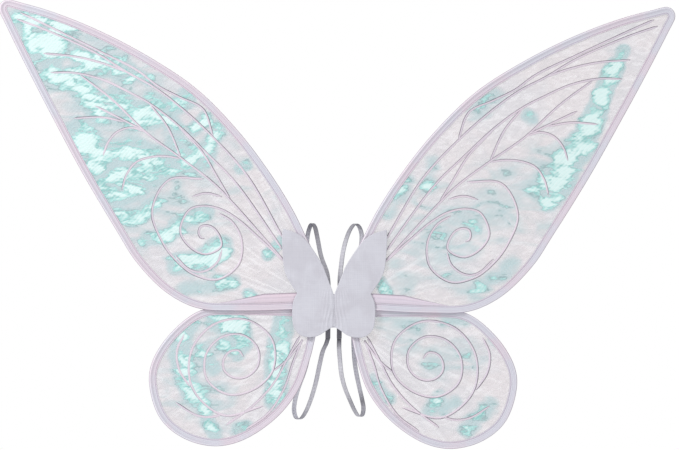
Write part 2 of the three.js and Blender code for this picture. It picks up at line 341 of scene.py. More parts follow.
# The iridescent film. Its glints, haze, dark rims round the glints and near-white highlights are painted
# reflections, laid out by the painted glint strokes; its fold, ray and ripple tints are painted shade and
# painted highlight.
# A pair is where a soft step starts and where it ends; a tint is such a pair,
# its strength and its colour.
filmLook = {
    "lilac": (206, 199, 210),
    "rose": (216, 203, 211),
    "shade": (160, 154, 170),
    "pale": (244, 241, 248),
    "softTeal": (176, 207, 214),
    "teal": (152, 206, 206),
    "mint": (180, 229, 228),
    "whiteMint": (234, 255, 255),
    "darkEdge": (104, 142, 148),
    "clearAlpha": 0.35,
    "mintAlpha": 0.9,
    "clearCoat": 0.25,
    "mintCoat": 0.7,
    "torn": {"scale": (19.0, 19.0, 42.0), "turn": 0.5, "Detail": 2.5, "Roughness": 0.36, "Distortion": 1.3},
    "crumple": {
        "scale": (46.0, 46.0, 110.0), "turn": -0.6, "Detail": 2.0, "Roughness": 0.4, "Distortion": 1.8,
    },
    "ripple": {"Scale": 70.0, "Distortion": 9.0, "Detail": 2.0, "Detail Scale": 0.5},
    "rippleTurn": 0.75,
    "tornShare": 2.1,
    "crumpleShare": 0.8,
    "raggedFrom": (-0.15, 0.5),
    "hazeFrom": (0.08, 0.52),
    "hazeWander": 0.36,
    "glintFrom": (0.56, 0.74),
    "rimFrom": (0.51, 0.58),
    "rimTo": (0.59, 0.66),
    "rimBreakup": (0.42, 0.6),
    "hotFrom": (0.74, 1.1),
    "hotRipple": 0.1,
    # painted shade in the hollows and painted highlight on the crests of the crumples and the tension rays;
    # the ripple tint is painted shade along the ripples, and the glint tints are painted teal shade inside
    # the painted glints
    "foldTints": [(0.5, 0.34, 0.24, "shade"), (0.5, 0.7, 0.45, "pale")],
    "rayTints": [(0.5, 0.4, 0.2, "shade"), (0.52, 0.62, 0.5, "pale")],
    "rippleTint": (0.4, 0.9, 0.07, "shade"),
    "glintFold": (0.54, 0.4, 1.0, "teal"),
    "glintRipple": (0.6, 0.1, 0.14, "teal"),
    "paintedHaze": 0.9,
    "rim": 0.5,
    "hazeVeil": 0.32,  # how much of the see-through film the haze and the rim cover
    "rimVeil": 0.5,
    "rays": 22.0,
    "rayLength": 7.0,
    "rayReach": (0.34, 0.1),
    "bump": 0.5,
    "bumpDepth": 1.2 * mm,
}


def tensionRays(tree, place):
    # Rays of tension that fan out from the root of the wing, and how near the root a place is.
    parts = addNode(tree, "SeparateXYZ", {"Vector": place})
    side = addNode(tree, "Math", {0: parts.outputs["X"]}, operation="ABSOLUTE").outputs[0]
    lean = sums(tree, parts.outputs["Z"], side, "ARCTAN2")
    reach = addNode(tree, "VectorMath", {0: place}, operation="LENGTH").outputs["Value"]
    fan = addNode(tree, "CombineXYZ", {
        "X": scaled(tree, lean, filmLook["rays"]), "Y": scaled(tree, reach, filmLook["rayLength"]),
        "Z": parts.outputs["X"],
    })
    rays = addNode(tree, "TexNoise", {"Vector": fan.outputs["Vector"], "Scale": 1.0, "Detail": 3.0})
    return rays.outputs["Fac"], step(tree, reach, *filmLook["rayReach"])


def tinted(tree, value, layer, within=None):
    # One tint of the film, as a mask and the name of its colour.
    low, high, strength, colour = layer
    mask = step(tree, value, low, high)
    if within:
        mask = sums(tree, mask, within, "MULTIPLY")
    return scaled(tree, mask, strength), colour


def makeFilmMaterial():
    look = filmLook
    material, tree, shader = newMaterial(
        "crinkled film", Roughness=0.24, IOR=1.5, Coat_Roughness=0.12,
        Thin_Film_Thickness=420.0, Thin_Film_IOR=1.6,
    )
    place = objectPlace(tree)
    # painted glint strength at each point of the film
    paintedGlint = carried(tree, "paintedGlint")
    ground = driftBetween(tree, look["lilac"], look["rose"], 16.0)
    # Pulled film: drawn-out tongues of light, smaller crumples, and fine ripples running up and outward
    torn = drawnNoise(tree, place, **look["torn"])
    crumple = drawnNoise(tree, place, **look["crumple"])
    turned = addNode(tree, "Mapping", {"Vector": place, "Rotation": (0.0, look["rippleTurn"], 0.0)})
    lines = addNode(tree, "TexWave", {
        "Vector": turned.outputs["Vector"], **look["ripple"],
    }, bands_direction="Z").outputs["Fac"]
    rays, nearRoot = tensionRays(tree, place)

    # Masks of painted reflection: the haze, the glints and a painted dark rim round them that comes and goes
    tornPart = scaled(tree, sums(tree, torn, 0.5, "SUBTRACT"), look["tornShare"])
    crumplePart = scaled(tree, sums(tree, crumple, 0.5, "SUBTRACT"), look["crumpleShare"])
    crinkle = sums(tree, tornPart, crumplePart)
    field = sums(tree, paintedGlint, sums(tree, crinkle, step(tree, paintedGlint, *look["raggedFrom"]), "MULTIPLY"))
    paintedHaze = step(tree, sums(tree, paintedGlint, scaled(tree, tornPart, look["hazeWander"])), *look["hazeFrom"])
    glint = step(tree, field, *look["glintFrom"])
    rim = sums(tree, step(tree, field, *look["rimFrom"]), step(tree, field, *look["rimTo"]), "SUBTRACT")
    rimShare = scaled(tree, sums(tree, rim, step(tree, torn, *look["rimBreakup"]), "MULTIPLY"), look["rim"])
    clear = layered(tree, ground.outputs["Color"], [
        *[tinted(tree, crumple, fold) for fold in look["foldTints"]],
        *[tinted(tree, rays, ray, nearRoot) for ray in look["rayTints"]],
        (scaled(tree, paintedHaze, look["paintedHaze"]), "softTeal"),
        (rimShare, "darkEdge"),
    ], look)

    # Inside a painted glint: mint, painted teal shade in the crumples and ripples, and a near-white painted
    # highlight where the glint field is strongest
    paintedHighlight = step(tree, sums(tree, field, scaled(tree, lines, look["hotRipple"])), *look["hotFrom"])
    lit = layered(tree, tint(*look["mint"]), [
        tinted(tree, crumple, look["glintFold"]),
        (paintedHighlight, "whiteMint"),
        tinted(tree, lines, look["glintRipple"]),
    ], look)
    colour = blendColours(tree, glint, clear, lit)
    colour = layered(tree, colour, [tinted(tree, lines, look["rippleTint"])], look)
    tree.links.new(colour, shader.inputs["Base Color"])
    veiled = sums(tree, scaled(tree, rimShare, look["rimVeil"]), scaled(tree, paintedHaze, look["hazeVeil"]))
    covered = sums(tree, glint, veiled, "MAXIMUM")
    alpha = spread(tree, covered, look["clearAlpha"], look["mintAlpha"])
    tree.links.new(alpha, shader.inputs["Alpha"])
    tree.links.new(spread(tree, glint, look["clearCoat"], look["mintCoat"]), shader.inputs["Coat Weight"])
    bumpInto(tree, shader, sums(tree, scaled(tree, lines, 0.2), crinkle), look["bump"], look["bumpDepth"])
    return material


veinLook = {
    "first": (224, 212, 223),
    "second": (216, 207, 219),
    "line": (112, 102, 116),
    "lineNearRoot": 0.55,  # how dark the outline is near the root, and on the right-hand wings
    "lineOnRight": 0.8,
    "threads": 2600.0, "shade": 0.14, "dark": (186, 176, 188), "bump": 0.3, "depth": 0.3 * mm,
}


def makeVeinMaterial():
    # Pale piping with a thin dark outline on one side that comes and goes.
    look = veinLook
    material, tree, shader = newMaterial("vein piping", Roughness=0.5, Sheen_Weight=0.15)
    base = driftBetween(tree, look["first"], look["second"], 9.0)
    place = objectPlace(tree)
    x = addNode(tree, "SeparateXYZ", {"Vector": place}).outputs["X"]
    reach = addNode(tree, "VectorMath", {0: place}, operation="LENGTH").outputs["Value"]
    # where the dark outline on one side of the piping shows
    outlineShows = step(tree, base.outputs["Mask"], -0.1, 1.1)
    outlineShows = sums(tree, outlineShows, scaled(tree, step(tree, reach, 0.3, 0.12), look["lineNearRoot"]), "MAXIMUM")
    outlineShows = sums(tree, outlineShows, scaled(tree, step(tree, x, 0.0, 0.01), look["lineOnRight"]), "MAXIMUM")
    line = sums(tree, step(tree, carried(tree, "across"), 0.36, 0.26), outlineShows, "MULTIPLY")
    weaveOver(tree, shader, layered(tree, base.outputs["Color"], [(line, "line")], look), look)
    return material


# Bands with stripes along them: (share of the width, colour) from the outer edge inward
bandLooks = {
    "tape": {
        "first": (255, 247, 251), "second": (247, 251, 255), "drift": 16.0,
        # the pale stripe at 0.1 is a painted highlight along the ridge over the wire
        "stripes": [
            (0.0, (170, 156, 172)), (0.06, (182, 168, 184)), (0.1, (240, 236, 241)),
            (0.18, (232, 227, 233)), (0.25, (203, 200, 208)), (0.34, (222, 218, 225)),
            (0.41, (190, 184, 196)), (0.46, (226, 220, 227)), (0.58, (205, 206, 213)),
            (0.68, (224, 217, 225)), (0.8, (214, 210, 218)), (0.84, (166, 159, 171)),
            (0.88, (222, 214, 222)), (1.0, (206, 197, 207)),
        ],
        "threads": 2200.0, "shade": 0.14, "dark": (188, 184, 196), "bump": 0.35, "depth": 0.4 * mm,
    },
    "organza": {
        "first": (255, 245, 250), "second": (252, 248, 255), "drift": 18.0,
        "stripes": [
            (0.0, (184, 176, 186)), (0.08, (212, 206, 214)), (0.3, (224, 217, 224)),
            (0.5, (213, 207, 215)), (0.7, (228, 219, 226)), (0.88, (218, 210, 218)),
            (0.95, (142, 134, 145)), (1.0, (178, 168, 179)),
        ],
        "threads": 1500.0, "shade": 0.18, "dark": (196, 182, 194), "bump": 0.4, "depth": 0.4 * mm,
    },
}


def makeBandMaterial(name, look, **constants):
    material, tree, shader = newMaterial(name, **constants)
    base = driftBetween(tree, look["first"], look["second"], look["drift"])
    stripes = ramp(tree, carried(tree, "across"), look["stripes"])
    weaveOver(tree, shader, blendColours(tree, 1.0, base.outputs["Color"], stripes, "MULTIPLY"), look)
    return material


# Plain woven cloths
clothLooks = {
    "satin": {
        "name": "patch satin", "roughness": 0.55, "sheen": 0.25, "first": (209, 209, 218),
        "second": (202, 201, 210), "dark": (172, 171, 183), "threads": 2400.0, "depth": 0.4 * mm,
    },
    "lining": {
        "name": "lining satin", "roughness": 0.6, "sheen": 0.2, "first": (218, 217, 224),
        "second": (210, 209, 217), "dark": (188, 187, 197), "threads": 2000.0, "depth": 0.4 * mm,
    },
    "padCover": {
        "name": "pad cover", "roughness": 0.85, "sheen": 0.35, "first": (224, 223, 230),
        "second": (216, 214, 224), "dark": (190, 188, 198), "threads": 1100.0, "depth": 0.8 * mm,
    },
    "thread": {
        "name": "stitch thread", "roughness": 0.5, "sheen": 0.1, "first": (196, 184, 202),
        "second": (184, 172, 192), "dark": (140, 130, 150), "threads": 3000.0, "depth": 0.2 * mm,
    },
}


def makeClothMaterial(look):
    material, tree, shader = newMaterial(
        look["name"], Roughness=look["roughness"], Sheen_Weight=look["sheen"], Sheen_Roughness=0.35,
    )
    base = driftBetween(tree, look["first"], look["second"], 34.0)
    weaveOver(tree, shader, base.outputs["Color"], {**look, "shade": 0.22, "bump": 0.35})
    return material


elasticLook = {
    "first": (232, 231, 238), "second": (222, 221, 230),
    "shadow": (84, 83, 92),  # painted shade, for the loop's shadowed spans and edges
    "threads": 1300.0, "shade": 0.3, "dark": (110, 108, 120), "bump": 0.6, "depth": 0.4 * mm,
}


def makeElasticMaterial():
    # Pale ribbed elastic, with painted shade where the loop lies in shade and along its edges.
    look = elasticLook
    material, tree, shader = newMaterial("strap elastic", Roughness=0.7, Sheen_Weight=0.1)
    base = driftBetween(tree, look["first"], look["second"], 25.0)
    # painted shade laid over the elastic where the loop carries it
    turned = layered(tree, base.outputs["Color"], [(carried(tree, "darkness"), "shadow")], look)
    weaveOver(tree, shader, turned, look)
    return material


def makeMetalMaterial(name, bright, dull, roughness):
    # Drawn metal, duller in fine streaks.
    material, tree, shader = newMaterial(name, Metallic=1.0)
    base = driftBetween(tree, bright, dull, 120.0)
    drawn = addNode(tree, "TexNoise", {
        "Vector": objectPlace(tree), "Scale": 2400.0, "Detail": 3.0,
    }).outputs["Fac"]
    tree.links.new(base.outputs["Color"], shader.inputs["Base Color"])
    tree.links.new(spread(tree, drawn, roughness, roughness + 0.25), shader.inputs["Roughness"])
    bumpInto(tree, shader, drawn, 0.2, 0.1 * mm)
    return material


def makeBoardMaterial(name, first, second, scale, roughness):
    # Pressed felt or board: matted fibres with paler flecks.
    material, tree, shader = newMaterial(name, Roughness=roughness)
    base = driftBetween(tree, first, second, scale)
    fibres = addNode(tree, "TexNoise", {
        "Vector": objectPlace(tree), "Scale": scale * 22, "Detail": 6.0, "Distortion": 1.5,
    }).outputs["Fac"]
    shade = blendColours(tree, scaled(tree, fibres, 0.4), base.outputs["Color"], tint(*second))
    tree.links.new(shade, shader.inputs["Base Color"])
    bumpInto(tree, shader, fibres, 0.5, 0.5 * mm)
    return material


finishes = {
    "film": makeFilmMaterial(),
    "vein": makeVeinMaterial(),
    "tape": makeBandMaterial(
        "edge tape", bandLooks["tape"], Roughness=0.42, Sheen_Weight=0.25, Sheen_Roughness=0.4,
    ),
    "organza": makeBandMaterial("pink organza", bandLooks["organza"], Roughness=0.4, Sheen_Weight=0.3),
    **{finish: makeClothMaterial(look) for finish, look in clothLooks.items()},
    "elastic": makeElasticMaterial(),
    "wire": makeMetalMaterial("frame wire steel", (196, 198, 202), (168, 170, 176), 0.3),
    "ferrule": makeMetalMaterial("ferrule metal", (208, 206, 200), (178, 176, 170), 0.25),
    "felt": makeBoardMaterial("stiffener felt", (222, 221, 225), (196, 194, 200), 90.0, 0.95),
    "board": makeBoardMaterial("core board", (232, 232, 234), (206, 204, 200), 60.0, 0.6),
}
print("materials:", len(finishes), "finishes made")


# Drawing and meshing helpers
def smoothPath(points, spacing):
    # Evenly spaced places along a centripetal curve that passes through every point.
    knots = [Vector(point) for point in points]
    knots = [2 * knots[0] - knots[1]] + knots + [2 * knots[-1] - knots[-2]]
    dense = []
    for a, b, c, d in zip(knots, knots[1:], knots[2:], knots[3:]):
        t1 = (b - a).length ** 0.5
        t2 = t1 + (c - b).length ** 0.5
        t3 = t2 + (d - c).length ** 0.5
        parts = max(2, math.ceil((c - b).length / spacing * 3))
        for k in range(parts):
            t = t1 + (t2 - t1) * k / parts
            ab = a.lerp(b, t / t1)
            bc = b.lerp(c, (t - t1) / (t2 - t1))
            cd = c.lerp(d, (t - t2) / (t3 - t2))
            dense.append(ab.lerp(bc, t / t2).lerp(bc.lerp(cd, (t - t1) / (t3 - t1)), (t - t1) / (t2 - t1)))
    dense.append(knots[-2])
    return evenly(np.array([tuple(point) for point in dense]), spacing)


def evenly(line, spacing):
    lengths = np.concatenate([[0], np.cumsum(np.linalg.norm(np.diff(line, axis=0), axis=1))])
    places = np.linspace(0, lengths[-1], max(3, round(lengths[-1] / spacing) + 1))
    return np.stack([np.interp(places, lengths, line[:, k]) for k in range(line.shape[1])], axis=1)


def frontLoop(node):
    # The rim of a flat CAD node's front face, as (x, z) points in order.
    shape = bmesh.new()
    shape.from_mesh(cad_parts[node].data)
    bmesh.ops.remove_doubles(shape, verts=shape.verts, dist=1e-6)
    shape.normal_update()
    front = [face for face in shape.faces if face.normal.y < -0.9]
    uses = {}
    for face in front:
        for edge in face.edges:
            uses[edge] = uses.get(edge, 0) + 1
    after = {}
    for face in front:
        for loop in face.loops:
            if uses[loop.edge] == 1:
                after[loop.vert] = loop.link_loop_next.vert
    start = next(iter(after))
    rim, vert = [start], after[start]
    while vert != start:
        rim.append(vert)
        vert = after[vert]
    points = np.array([(vert.co.x, vert.co.z) for vert in rim])
    shape.free()
    return points


def openRim(node):
    # The same rim, opened at its longest edge, from its higher end to its lower end.
    rim = frontLoop(node)
    gaps = np.linalg.norm(rim - np.roll(rim, 1, axis=0), axis=1)
    rim = np.roll(rim, -int(np.argmax(gaps)), axis=0)
    return rim if rim[0, 1] > rim[-1, 1] else rim[::-1]


def directionOf(line):
    along = np.gradient(line, axis=0)
    return along / np.linalg.norm(along, axis=1)[:, None]


def inwardOf(line, side):
    along = directionOf(line)
    return side * np.stack([along[:, 1], -along[:, 0]], axis=1)


def lengthOf(line):
    return float(np.sum(np.linalg.norm(np.diff(line, axis=0), axis=1)))


def closedLine(rim):
    return np.vstack([rim, rim[:1]])


def distanceTo(points, line):
    nearest = np.full(len(points), 1e9)
    for a, b in zip(line[:-1], line[1:]):
        stride = b - a
        share = np.clip(((points - a) @ stride) / max(stride @ stride, 1e-12), 0, 1)
        nearest = np.minimum(nearest, np.linalg.norm(points - a - share[:, None] * stride, axis=1))
    return nearest


def insideOf(points, rim):
    inside = np.zeros(len(points), bool)
    for a, b in zip(rim, np.roll(rim, -1, axis=0)):
        crosses = (a[1] > points[:, 1]) != (b[1] > points[:, 1])
        with np.errstate(divide="ignore", invalid="ignore"):
            reach = a[0] + (points[:, 1] - a[1]) * (b[0] - a[0]) / (b[1] - a[1])
        inside ^= crosses & (points[:, 0] < reach)
    return inside


def ease(values, low, high):
    share = np.clip((values - low) / (high - low), 0, 1)
    return share * share * (3 - 2 * share)


def cloudy(points, scale, seed):
    return np.array([noise.noise(Vector((x * scale, z * scale, seed))) for x, z in points])


meshPlan = {
    "rowShare": 0.866,  # rows of near-equal triangles stand this share of the spacing apart
    "jitter": 0.12,
    "clearShare": 0.6,  # the lattice keeps this share of the spacing from the innermost ring
}


def cutCloth(rim, spacing, insets=(), seed=1):
    # Triangles over a flat outline: the rim, rings inside it and a jittered lattice.
    rimClosed = closedLine(rim)
    chance = random.Random(seed)
    low, high = rim.min(axis=0), rim.max(axis=0)
    rowHeight = spacing * meshPlan["rowShare"]
    jitter = meshPlan["jitter"]
    lattice = []
    for row in range(math.ceil((high[1] - low[1]) / rowHeight)):
        for column in range(math.ceil((high[0] - low[0]) / spacing) + 1):
            x = low[0] + (column + 0.5 * (row % 2)) * spacing
            x += chance.uniform(-jitter, jitter) * spacing
            z = low[1] + row * rowHeight
            lattice.append((x, z + chance.uniform(-jitter, jitter) * spacing))
    lattice = np.array(lattice)
    lattice = lattice[insideOf(lattice, rim)]
    clear = max(insets, default=0) + meshPlan["clearShare"] * spacing
    lattice = lattice[distanceTo(lattice, rimClosed) > clear]
    rings = []
    for inset in insets:
        turn = np.roll(rim, -1, axis=0) - np.roll(rim, 1, axis=0)
        turn /= np.linalg.norm(turn, axis=1)[:, None]
        ring = rim + inset * np.stack([-turn[:, 1], turn[:, 0]], axis=1)
        ring = ring[insideOf(ring, rim)]
        rings.append(ring[distanceTo(ring, rimClosed) > 0.9 * inset])
    points = np.vstack([rim, *rings, lattice])
    edges = [(k, (k + 1) % len(rim)) for k in range(len(rim))]
    flat, _, faces, _, _, _ = delaunay_2d_cdt([Vector(point) for point in points], edges, [], 1, 1e-7)
    return np.array([tuple(point) for point in flat]), [tuple(face) for face in faces]


def counterClockwise(rim):
    x, z = rim[:, 0], rim[:, 1]
    area = np.sum(x * np.roll(z, -1) - np.roll(x, -1) * z)
    return rim if area > 0 else rim[::-1]


def addPiece(name, verts, faces, finish, floats=None, crease=None):
    mesh = bpy.data.meshes.new(name)
    mesh.from_pydata([tuple(vert) for vert in verts], [], faces)
    for label, values in (floats or {}).items():
        layer = mesh.attributes.new(label, "FLOAT", "POINT")
        layer.data.foreach_set("value", np.asarray(values, np.float32))
    mesh.materials.append(finishes[finish])
    mesh.shade_smooth()
    if crease:
        mesh.set_sharp_from_angle(angle=math.radians(crease))
    mesh.validate()
    piece = bpy.data.objects.new(name, mesh)
    bpy.context.scene.collection.objects.link(piece)
    return piece


def closedSheet(name, flat, faces, middleY, thick, finish, floats=None):
    # A thin closed cloth from flat triangles, with a middle depth and a thickness per point.
    count = len(flat)
    verts = np.vstack([
        np.stack([flat[:, 0], middleY + face * thick, flat[:, 1]], axis=1) for face in (-0.5, 0.5)
    ])
    edges = {(face[k], face[(k + 1) % 3]): None for face in faces for k in range(3)}
    solid = list(faces) + [tuple(count + k for k in reversed(face)) for face in faces]
    solid += [(a, count + a, count + b, b) for a, b in edges if (b, a) not in edges]
    doubled = {label: np.concatenate([values, values]) for label, values in (floats or {}).items()}
    return addPiece(name, verts, solid, finish, doubled)


def around(count):
    # Cosine and sine of even steps round a circle.
    angles = [2 * math.pi * j / count for j in range(count)]
    return [(math.cos(angle), math.sin(angle)) for angle in angles]


def bandRows(count):
    # Once across a flat band's front and back again across its rear: share of the width, and side.
    for j in range(2 * count):
        yield (j / (count - 1), 1) if j < count else ((2 * count - 1 - j) / (count - 1), -1)


def sweepSection(rings, endless=False):
    # Rings of equal count joined into a tube, capped at both ends or joined end to end.
    count = len(rings[0])
    verts = np.vstack(rings)
    faces = []
    for k in range(len(rings) if endless else len(rings) - 1):
        after = (k + 1) % len(rings)
        for j in range(count):
            beside = (j + 1) % count
            faces.append((k * count + j, k * count + beside, after * count + beside, after * count + j))
    if not endless:
        faces.append(tuple(reversed(range(count))))
        faces.append(tuple(range(len(verts) - count, len(verts))))
    return verts, faces


def faceOutward(piece):
    shape = bmesh.new()
    shape.from_mesh(piece.data)
    bmesh.ops.recalc_face_normals(shape, faces=shape.faces)
    shape.to_mesh(piece.data)
    shape.free()
    return piece


def joinParts(parts):
    # Several closed parts of one piece: their points and faces in one list each.
    verts, faces = [], []
    for some, quads in parts:
        faces += [tuple(len(verts) + k for k in quad) for quad in quads]
        verts += [tuple(vert) for vert in some]
    return verts, faces


def settle(piece, body, slot, *nodes):
    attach(piece, body)
    if nodes:
        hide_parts(*nodes)


# The four films, crinkled by three sizes of wave
filmPlan = {
    "thickness": 0.3 * mm,
    "spacing": 4.4 * mm,
    "rimSpacing": 3.5 * mm,
    "edgeSpacing": 4 * mm,
    "rimFade": 16 * mm,
    "rootFade": (40 * mm, 110 * mm),  # flat under the patch, free beyond it
    "rootShare": 0.25,
    # waves to a metre, seed step and height: a broad swell, pulled folds and sharp creases
    "swell": (11, 0, 1.5 * mm),
    "pull": (32, 4, 0.8 * mm),
    "crease": (62, 9, 0.45 * mm),
    "glintReach": 1.45,  # a glint fades out at this many radii
}

# Painted glints on each film, in place of the reflections that the crinkled film throws: strength, radius and
# a few places along the stroke, in mm from the root
paintedGlintStrokes = {
    "left_upper": [
        (0.42, 95, [(425, 385), (360, 330), (300, 260), (265, 185)]),
        (0.25, 60, [(250, 270), (180, 240), (150, 180)]),
        (0.95, 12, [(450, 410), (420, 405)]),
        (0.9, 10, [(445, 410), (435, 390), (425, 360)]),
        (1.0, 15, [(425, 370), (395, 375), (400, 345)]),
        (0.95, 11, [(400, 395), (375, 400)]),
        (1.0, 15, [(360, 355), (330, 345), (295, 335)]),
        (1.0, 17, [(375, 325), (360, 315), (330, 275)]),
        (1.0, 19, [(315, 295), (285, 275), (255, 275)]),
        (0.95, 13, [(260, 295), (235, 285), (210, 300)]),
        (0.9, 10, [(185, 270), (200, 255)]),
        (0.9, 10, [(165, 255), (180, 230)]),
        (1.0, 17, [(225, 230), (210, 210), (185, 220)]),
        (0.9, 11, [(245, 270), (225, 260)]),
        (1.0, 19, [(360, 250), (330, 220), (285, 225), (240, 205)]),
        (1.0, 16, [(340, 205), (310, 190), (265, 190), (235, 200)]),
        (0.95, 13, [(330, 175), (305, 160), (275, 170)]),
        (0.9, 11, [(305, 135), (280, 130), (255, 150)]),
        (0.9, 10, [(225, 120), (205, 130), (180, 140)]),
        (0.85, 10, [(265, 100), (240, 105), (220, 115)]),
        (0.95, 15, [(220, 65), (190, 70), (160, 90)]),
        (0.8, 8, [(135, 200), (125, 205)]),
        (0.9, 8, [(120, 25), (115, 20)]),
        (0.8, 8, [(95, 80), (85, 90)]),
        (0.85, 8, [(80, 95), (75, 100)]),
        (0.6, 12, [(210, 30), (145, 42)]),
        (0.8, 9, [(290, 335), (265, 325)]),
        (0.8, 9, [(205, 305), (215, 295)]),
        (0.7, 14, [(395, 330), (375, 320)]),
    ],
    "left_lower": [
        (0.36, 60, [(190, -40), (185, -120)]),
        (0.95, 15, [(205, -20), (215, -40), (210, -85), (195, -120)]),
        (0.95, 14, [(165, -15), (135, -20), (130, -45)]),
        (0.85, 10, [(155, -45), (135, -60)]),
        (0.85, 11, [(185, -55), (170, -80)]),
        (0.98, 14, [(70, -15), (80, -65), (80, -95), (80, -125)]),
        (0.85, 10, [(185, -120), (175, -155), (165, -175)]),
        (0.75, 9, [(240, -15), (220, -30)]),
        (0.7, 8, [(135, -165), (120, -160)]),
    ],
    "right_upper": [
        (0.9, 8, [(404, 374), (396, 356)]),
        (1.1, 12, [(392, 350), (380, 325), (370, 300)]),
        (1.1, 15, [(366, 286), (355, 262)]),
        (1.1, 19, [(346, 240), (326, 212), (318, 190)]),
        (1.0, 13, [(312, 175), (300, 160)]),
        (0.5, 34, [(300, 200), (280, 175)]),
        (0.38, 56, [(310, 195), (270, 170), (225, 145), (180, 120), (145, 105)]),
        (0.9, 8, [(195, 125), (200, 120)]),
        (0.5, 12, [(135, 210), (130, 180)]),
        (0.5, 12, [(100, 190), (75, 135)]),
        (0.85, 8, [(65, 45), (75, 30)]),
        (0.6, 12, [(250, 75), (220, 50), (195, 30)]),
        (0.4, 20, [(165, 60), (200, 25)]),
        (0.7, 9, [(270, 280), (275, 275)]),
        (0.45, 16, [(200, 290), (220, 305)]),
        (0.4, 20, [(95, 45), (85, 70)]),
    ],
    "right_lower": [
        (0.5, 18, [(70, -5), (100, -10), (115, -15)]),
        (0.6, 12, [(155, -10), (185, -5)]),
        (0.6, 11, [(135, -140), (150, -120)]),
        (0.62, 10, [(155, -135), (170, -125)]),
        (0.6, 12, [(190, -160), (220, -130)]),
        (0.62, 9, [(55, -95), (80, -120)]),
        (0.6, 9, [(225, -35), (235, -40)]),
        (0.4, 26, [(140, -65), (190, -60)]),
        (0.4, 18, [(85, -35), (110, -45)]),
    ],
}


def readWing(side, level):
    # What the pieces of one wing share: its film rim, outer edge and middle depth.
    name = side + "_" + level
    low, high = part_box(name + "_film")
    tapeLow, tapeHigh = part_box(name + "_binding")
    rim = smoothPath(openRim(name + "_film"), filmPlan["rimSpacing"])
    inward = inwardOf(rim, sides[side])
    rimInset = tapeHigh.x - high.x if side == "right" else low.x - tapeLow.x
    return {
        "name": name,
        "side": sides[side],
        "body": side + "_wing",
        "middle": (low.y + high.y) / 2,
        "rim": rim,
        "edge": evenly(rim - inward * rimInset, filmPlan["edgeSpacing"]),
        "seed": 3 * len(name) + (7 if side == "left" else 0),
    }


def filmLevel(points, wing):
    # Depth of the crinkled film; it comes back to the middle at its rim and at the root.
    plan = filmPlan
    fade = ease(distanceTo(points, closedLine(wing["rim"])), 0, plan["rimFade"])
    fade *= plan["rootShare"] + (1 - plan["rootShare"]) * ease(np.abs(points[:, 0]), *plan["rootFade"])
    waves = []
    for kind in ("swell", "pull", "crease"):
        scale, turn, height = plan[kind]
        wave = cloudy(points, scale, wing["seed"] + turn)
        waves.append(height * (0.5 - np.abs(wave) * 2 if kind == "crease" else wave))
    return wing["middle"] + fade * sum(waves)


def paintedGlintAt(points, wing):
    glow = np.zeros(len(points))
    for strength, radius, places in paintedGlintStrokes[wing["name"]]:
        line = np.array(places, float) * mm
        line[:, 0] *= wing["side"]
        if len(line) > 2:
            line = smoothPath([tuple(point) for point in line], 6 * mm)
        near = 1 - distanceTo(points, line) / (filmPlan["glintReach"] * radius * mm)
        glow = np.maximum(glow, strength * np.clip(near, 0, 1) ** 0.6)
    return glow


def makeFilm(wing):
    rim = counterClockwise(wing["rim"])
    flat, faces = cutCloth(rim, filmPlan["spacing"], seed=wing["seed"])
    film = closedSheet(
        wing["name"] + "_film_sheet", flat, faces, filmLevel(flat, wing), filmPlan["thickness"], "film",
        {"paintedGlint": paintedGlintAt(flat, wing)},
    )
    settle(film, wing["body"], "wing_film", wing["name"] + "_film")


wingsMade = [readWing(side, level) for side in sides for level in ("upper", "lower")]
for wing in wingsMade:
    makeFilm(wing)
print("films: four crinkled sheets stretched in their frames")


# Veins: thin piping that lies on both faces of the film
veinPlan = {
    "halfWidth": 1.75 * mm,
    "halfHeight": 0.6 * mm,
    "spacing": 3 * mm,
    "sectionSides": 8,
    "tip": 0.35,  # its size at an end, as a share, and how fast it grows from there
    "growth": 0.3,
}

# Upper veins, in mm from the root; each passes through its points
upperVeins = [
    [
        (72, 103), (123, 190), (172, 244), (217, 285), (256, 314), (295, 335), (338, 361), (407, 392),
        (451, 408),
    ],
    [(172, 244), (187, 284), (221, 301), (251, 316), (281, 338), (338, 366), (407, 399), (446, 417)],
    [(295, 335), (329, 347), (368, 356), (413, 360)],
    [
        (73, 88), (140, 181), (179, 220), (223, 262), (262, 291), (296, 309), (329, 324), (368, 333),
        (402, 333),
    ],
    [(70, 71), (145, 154), (171, 180), (217, 215), (265, 249), (315, 296), (360, 330)],
    [(147, 157), (165, 187), (187, 223), (211, 249), (223, 262)],
    [(217, 215), (237, 259), (262, 290)],
    [(218, 214), (235, 217), (259, 216), (281, 208), (294, 190), (300, 169)],
    [(267, 251), (288, 257), (307, 251), (320, 236), (327, 217)],
    [(272, 254), (300, 268), (339, 287)],
    [(297, 265), (330, 271), (369, 269)],
    [(159, 161), (181, 166), (201, 161)],
    [(158, 87), (164, 70), (178, 58), (192, 55), (206, 60), (224, 78)],
]
lowerVeins = [
    [(210, -33), (220, -56), (217, -82), (201, -107)],
    [(155, -145), (172, -149), (193, -146), (221, -129)],
    [(43, -39), (66, -68), (85, -84)],
    [(47, -33), (66, -68), (84, -101), (112, -132), (150, -160)],
    [(44, -38), (57, -72), (68, -106), (91, -143), (122, -166)],
]

